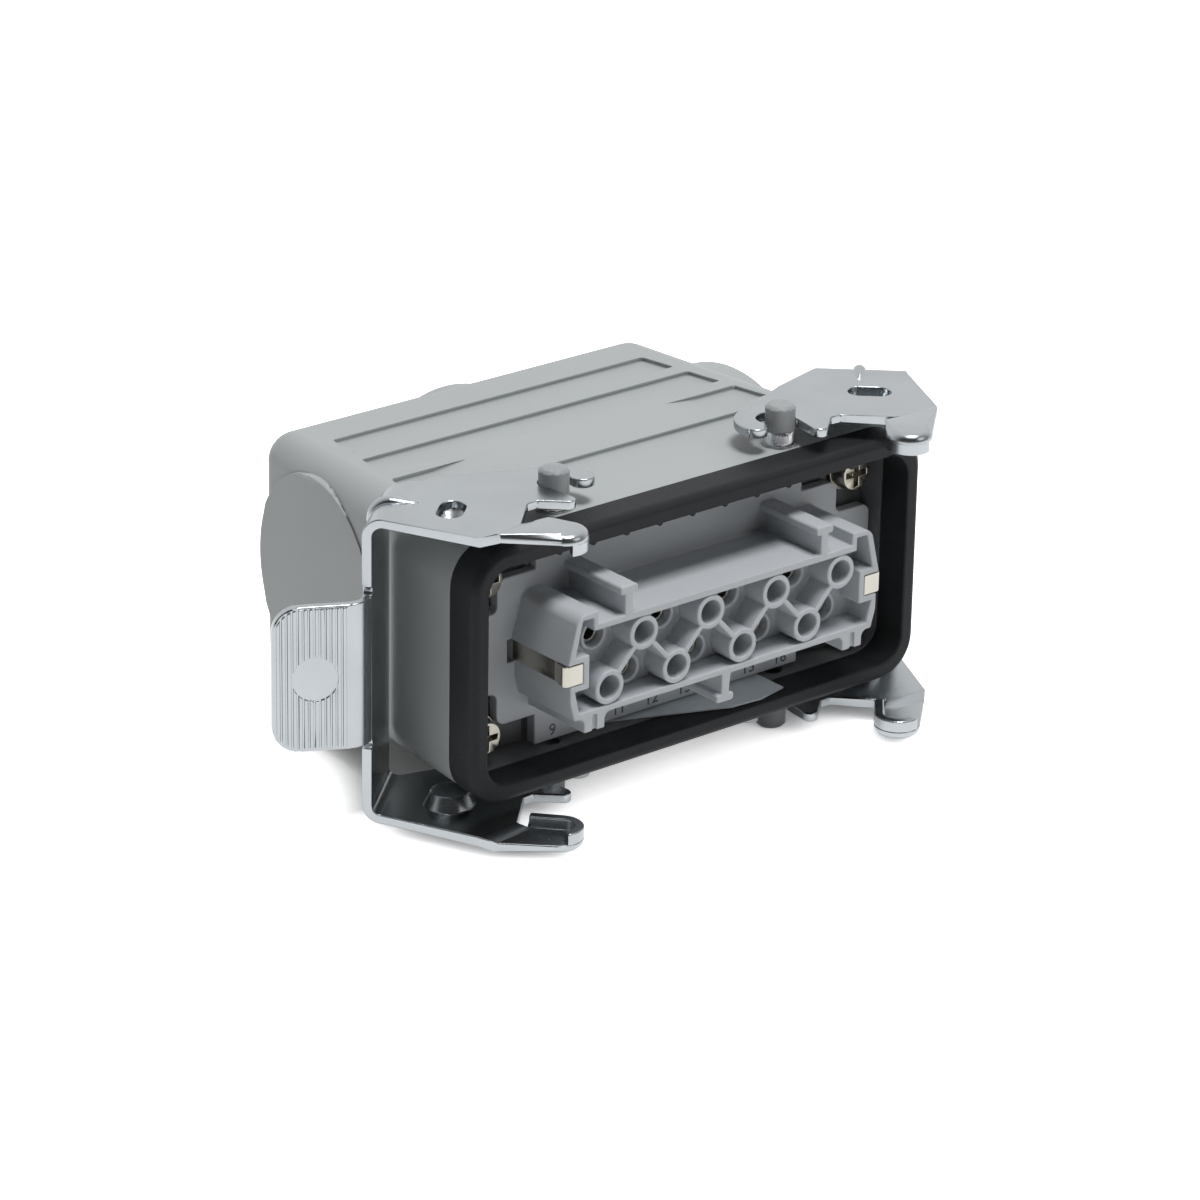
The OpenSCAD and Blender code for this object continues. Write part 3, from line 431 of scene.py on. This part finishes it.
# Insulating film: a loose slip of matte grey sheet that lies on the lower
# wall of the mouth, with one corner showing below the insert.
film_sheet = grained("grey film", (0.60, 0.64, 0.665), 0.6, shift=0.04, cloud=120, grain=900, spread=0.08)
film = rounded_copy("insulating_film", "film_slip", "housing", "film")
film.data.materials.append(film_sheet)


# Pivot pins and their sleeves: zinc-plated pins riveted into the hood, each
# with a conical foot and a grey plastic cap that the lever's eye turns on.
cap_plastic = grained("grey cap", (0.33, 0.345, 0.355), 0.45, shift=0.05, cloud=300, grain=2400, spread=0.12)
for place in ("top_left", "top_right", "bottom_left", "bottom_right"):
    pin = rounded_copy(f"pin_{place}", f"pivot_pin_{place}", "housing", "zinc", 0.15)
    pin.data.materials.append(zinc)
    cap = rounded_copy(f"sleeve_{place}", f"pin_cap_{place}", "housing", "sleeve_plastic", 0.2, 0.1)
    cap.data.materials.append(cap_plastic)


# Locking levers: each one sheet of steel, blanked, folded to a U, stepped and
# rimmed at its hooks and coined with ridges on its grip, then bright zinc plated.
sheet_zinc = grained("zinc plated sheet", (0.412, 0.44, 0.459), 0.26, metal=1.0, shift=0.04, cloud=90,
                     grain=1300, spread=0.06, depth=0.004, relief=0.04)
HOOK_TOP, HOOK_BACK, HOOK_ROUND = 27.1 * MM, -5 * MM, 1.35 * MM


def roll_hooks(shape):
    """Roll the outer edge of each hook over, as the press left it that turned the rim in."""
    bpy.ops.mesh.select_all(action="DESELECT")
    for edge in shape.edges:
        at_top = all(abs(abs(vertex.co.z) - HOOK_TOP) < NEAR for vertex in edge.verts)
        at_tip = at_top and all(vertex.co.y < HOOK_BACK for vertex in edge.verts)
        if at_tip and edge.is_convex and edge.calc_face_angle(0) > SHARP:
            edge.select_set(True)
    bpy.ops.mesh.bevel(offset=HOOK_ROUND, segments=5, affect="EDGES", clamp_overlap=False)


for side in ("left", "right"):
    lever = rounded_copy(f"lever_{side}", f"locking_lever_{side}", f"lever_{side}", "lever_zinc",
                         0.25, 0.08, reshape=roll_hooks)
    lever.data.materials.append(sheet_zinc)


# Studio: a pale floor under the part, one large soft light overhead, a soft
# fill in front and a white surround, with the camera where the photo was taken.
bpy.context.scene.view_settings.view_transform = "Standard"
FLOOR_HEIGHT, FLOOR_SIZE = cad_box[0][2], 12
FLOOR_IN_METAL = 0.65  # how bright the floor is in what mirrors it
SHADE_REACH = 20 * MM
UNDER_HOOD_FRONT, UNDER_HOOD_BACK, UNDER_HOOD_SHADE = 15 * MM, 24 * MM, 0.45
bpy.ops.object.select_all(action="DESELECT")
bpy.ops.mesh.primitive_plane_add(size=FLOOR_SIZE, location=(0, 0, FLOOR_HEIGHT))
floor = bpy.context.object
floor.name = "studio_floor"
floor_paint = bpy.data.materials.new("pale floor")
floor_paint.use_nodes = True
floor_tree = floor_paint.node_tree
floor_shader = floor_tree.nodes["Principled BSDF"]
floor_shader.inputs["Base Color"].default_value = (0.9, 0.9, 0.9, 1)
floor_shader.inputs["Roughness"].default_value = 0.9
floor_shader.inputs["Emission Color"].default_value = (1, 1, 1, 1)
seen = floor_tree.nodes.new("ShaderNodeLightPath")
in_metal = floor_tree.nodes.new("ShaderNodeMath")
in_metal.operation = "MAXIMUM"
faint = floor_tree.nodes.new("ShaderNodeMath")
faint.operation = "MULTIPLY"
faint.inputs[1].default_value = FLOOR_IN_METAL
either = floor_tree.nodes.new("ShaderNodeMath")
either.operation = "MAXIMUM"
# Painted shadow: the floor's glow is cut where ambient occlusion finds the part near, and cut further on the
# floor under the hood.
openness = floor_tree.nodes.new("ShaderNodeAmbientOcclusion")
openness.inputs["Distance"].default_value = SHADE_REACH
spot = floor_tree.nodes.new("ShaderNodeTexCoord")
axes = floor_tree.nodes.new("ShaderNodeSeparateXYZ")
under_hood_painted_shadow = floor_tree.nodes.new("ShaderNodeMapRange")
under_hood_painted_shadow.inputs["From Min"].default_value = UNDER_HOOD_FRONT
under_hood_painted_shadow.inputs["From Max"].default_value = UNDER_HOOD_BACK
under_hood_painted_shadow.inputs["To Max"].default_value = UNDER_HOOD_SHADE
shaded = floor_tree.nodes.new("ShaderNodeMath")
shaded.operation = "SUBTRACT"
lit = floor_tree.nodes.new("ShaderNodeMapRange")
lit.inputs["From Min"].default_value = 0.02
lit.inputs["From Max"].default_value = 0.25
lit.inputs["To Max"].default_value = 0.95
glow = floor_tree.nodes.new("ShaderNodeMath")
glow.operation = "MULTIPLY"
wire = floor_tree.links.new
wire(seen.outputs["Is Glossy Ray"], in_metal.inputs[0])
wire(seen.outputs["Is Transmission Ray"], in_metal.inputs[1])
wire(in_metal.outputs["Value"], faint.inputs[0])
wire(seen.outputs["Is Camera Ray"], either.inputs[0])
wire(faint.outputs["Value"], either.inputs[1])
wire(spot.outputs["Object"], axes.inputs["Vector"])
wire(axes.outputs["Y"], under_hood_painted_shadow.inputs["Value"])
wire(openness.outputs["AO"], shaded.inputs[0])
wire(under_hood_painted_shadow.outputs["Result"], shaded.inputs[1])
wire(shaded.outputs["Value"], lit.inputs["Value"])
wire(either.outputs["Value"], glow.inputs[0])
wire(lit.outputs["Result"], glow.inputs[1])
wire(glow.outputs["Value"], floor_shader.inputs["Emission Strength"])
floor.data.materials.append(floor_paint)

BRIGHT_WAY = (0.4, 0.92, 0)
ROOM_LIGHT, ROOM_DARK = 0.42, 0.05
world = bpy.data.worlds.new("white studio")
bpy.context.scene.world = world
world.use_nodes = True
sky = world.node_tree.nodes["Background"]
sky.inputs["Color"].default_value = (1, 1, 1, 1)
path = world.node_tree.nodes.new("ShaderNodeLightPath")
direction = world.node_tree.nodes.new("ShaderNodeTexCoord")
bright_side = world.node_tree.nodes.new("ShaderNodeVectorMath")
bright_side.operation = "DOT_PRODUCT"
bright_side.inputs[1].default_value = BRIGHT_WAY
behind = world.node_tree.nodes.new("ShaderNodeMapRange")
behind.inputs["From Min"].default_value = -0.35
behind.inputs["From Max"].default_value = 0.55
room = world.node_tree.nodes.new("ShaderNodeMath")
room.operation = "MULTIPLY_ADD"
room.inputs[1].default_value = ROOM_LIGHT
room.inputs[2].default_value = ROOM_DARK
mirrored = world.node_tree.nodes.new("ShaderNodeMath")
shown = world.node_tree.nodes.new("ShaderNodeMath")
white = world.node_tree.nodes.new("ShaderNodeMath")
mirrored.operation, shown.operation, white.operation = "MAXIMUM", "MULTIPLY", "MAXIMUM"
background = world.node_tree.nodes.new("ShaderNodeMix")
background.inputs["B"].default_value = 1.0
join = world.node_tree.links.new
join(direction.outputs["Generated"], bright_side.inputs[0])
join(bright_side.outputs["Value"], behind.inputs["Value"])
join(behind.outputs["Result"], room.inputs[0])
join(path.outputs["Is Glossy Ray"], mirrored.inputs[0])
join(path.outputs["Is Transmission Ray"], mirrored.inputs[1])
join(mirrored.outputs["Value"], shown.inputs[0])
join(behind.outputs["Result"], shown.inputs[1])
join(path.outputs["Is Camera Ray"], white.inputs[0])
join(shown.outputs["Value"], white.inputs[1])
join(white.outputs["Value"], background.inputs["Factor"])
join(room.outputs["Value"], background.inputs["A"])
join(background.outputs["Result"], sky.inputs["Strength"])


def softbox(name, place, aim, size, power):
    """Square area light that faces a point."""
    bpy.ops.object.light_add(type="AREA", location=place)
    lamp = bpy.context.object
    lamp.name = name
    lamp.data.size = size
    lamp.data.energy = power
    lamp.rotation_euler = (Vector(aim) - Vector(place)).to_track_quat("-Z", "Y").to_euler()


softbox("overhead light", (0.05, -0.18, 1.0), (0, 0.03, 0), 0.35, 8.0)
softbox("front fill", (0.45, -0.9, 0.6), (0, 0, 0), 0.6, 1.5)

CAMERA_PLACE = (-0.5054, -0.5836, 0.3275)
AZIMUTH, ELEVATION, ROLL = math.radians(39.65), math.radians(22.82), math.radians(1.03)
ahead = Vector((math.sin(AZIMUTH), math.cos(AZIMUTH), 0))
forward = math.cos(ELEVATION) * ahead - math.sin(ELEVATION) * Vector((0, 0, 1))
level_right = Vector((math.cos(AZIMUTH), -math.sin(AZIMUTH), 0))
level_up = level_right.cross(forward)
right = math.cos(ROLL) * level_right + math.sin(ROLL) * level_up
up = right.cross(forward)
bpy.ops.object.camera_add()
camera = bpy.context.object
camera.data.sensor_width = 36
camera.data.lens = 156
camera.data.clip_start, camera.data.clip_end = 0.01, 50
turn = Matrix((right, up, -forward)).transposed()
camera.matrix_world = Matrix.Translation(CAMERA_PLACE) @ turn.to_4x4()
bpy.context.scene.camera = camera
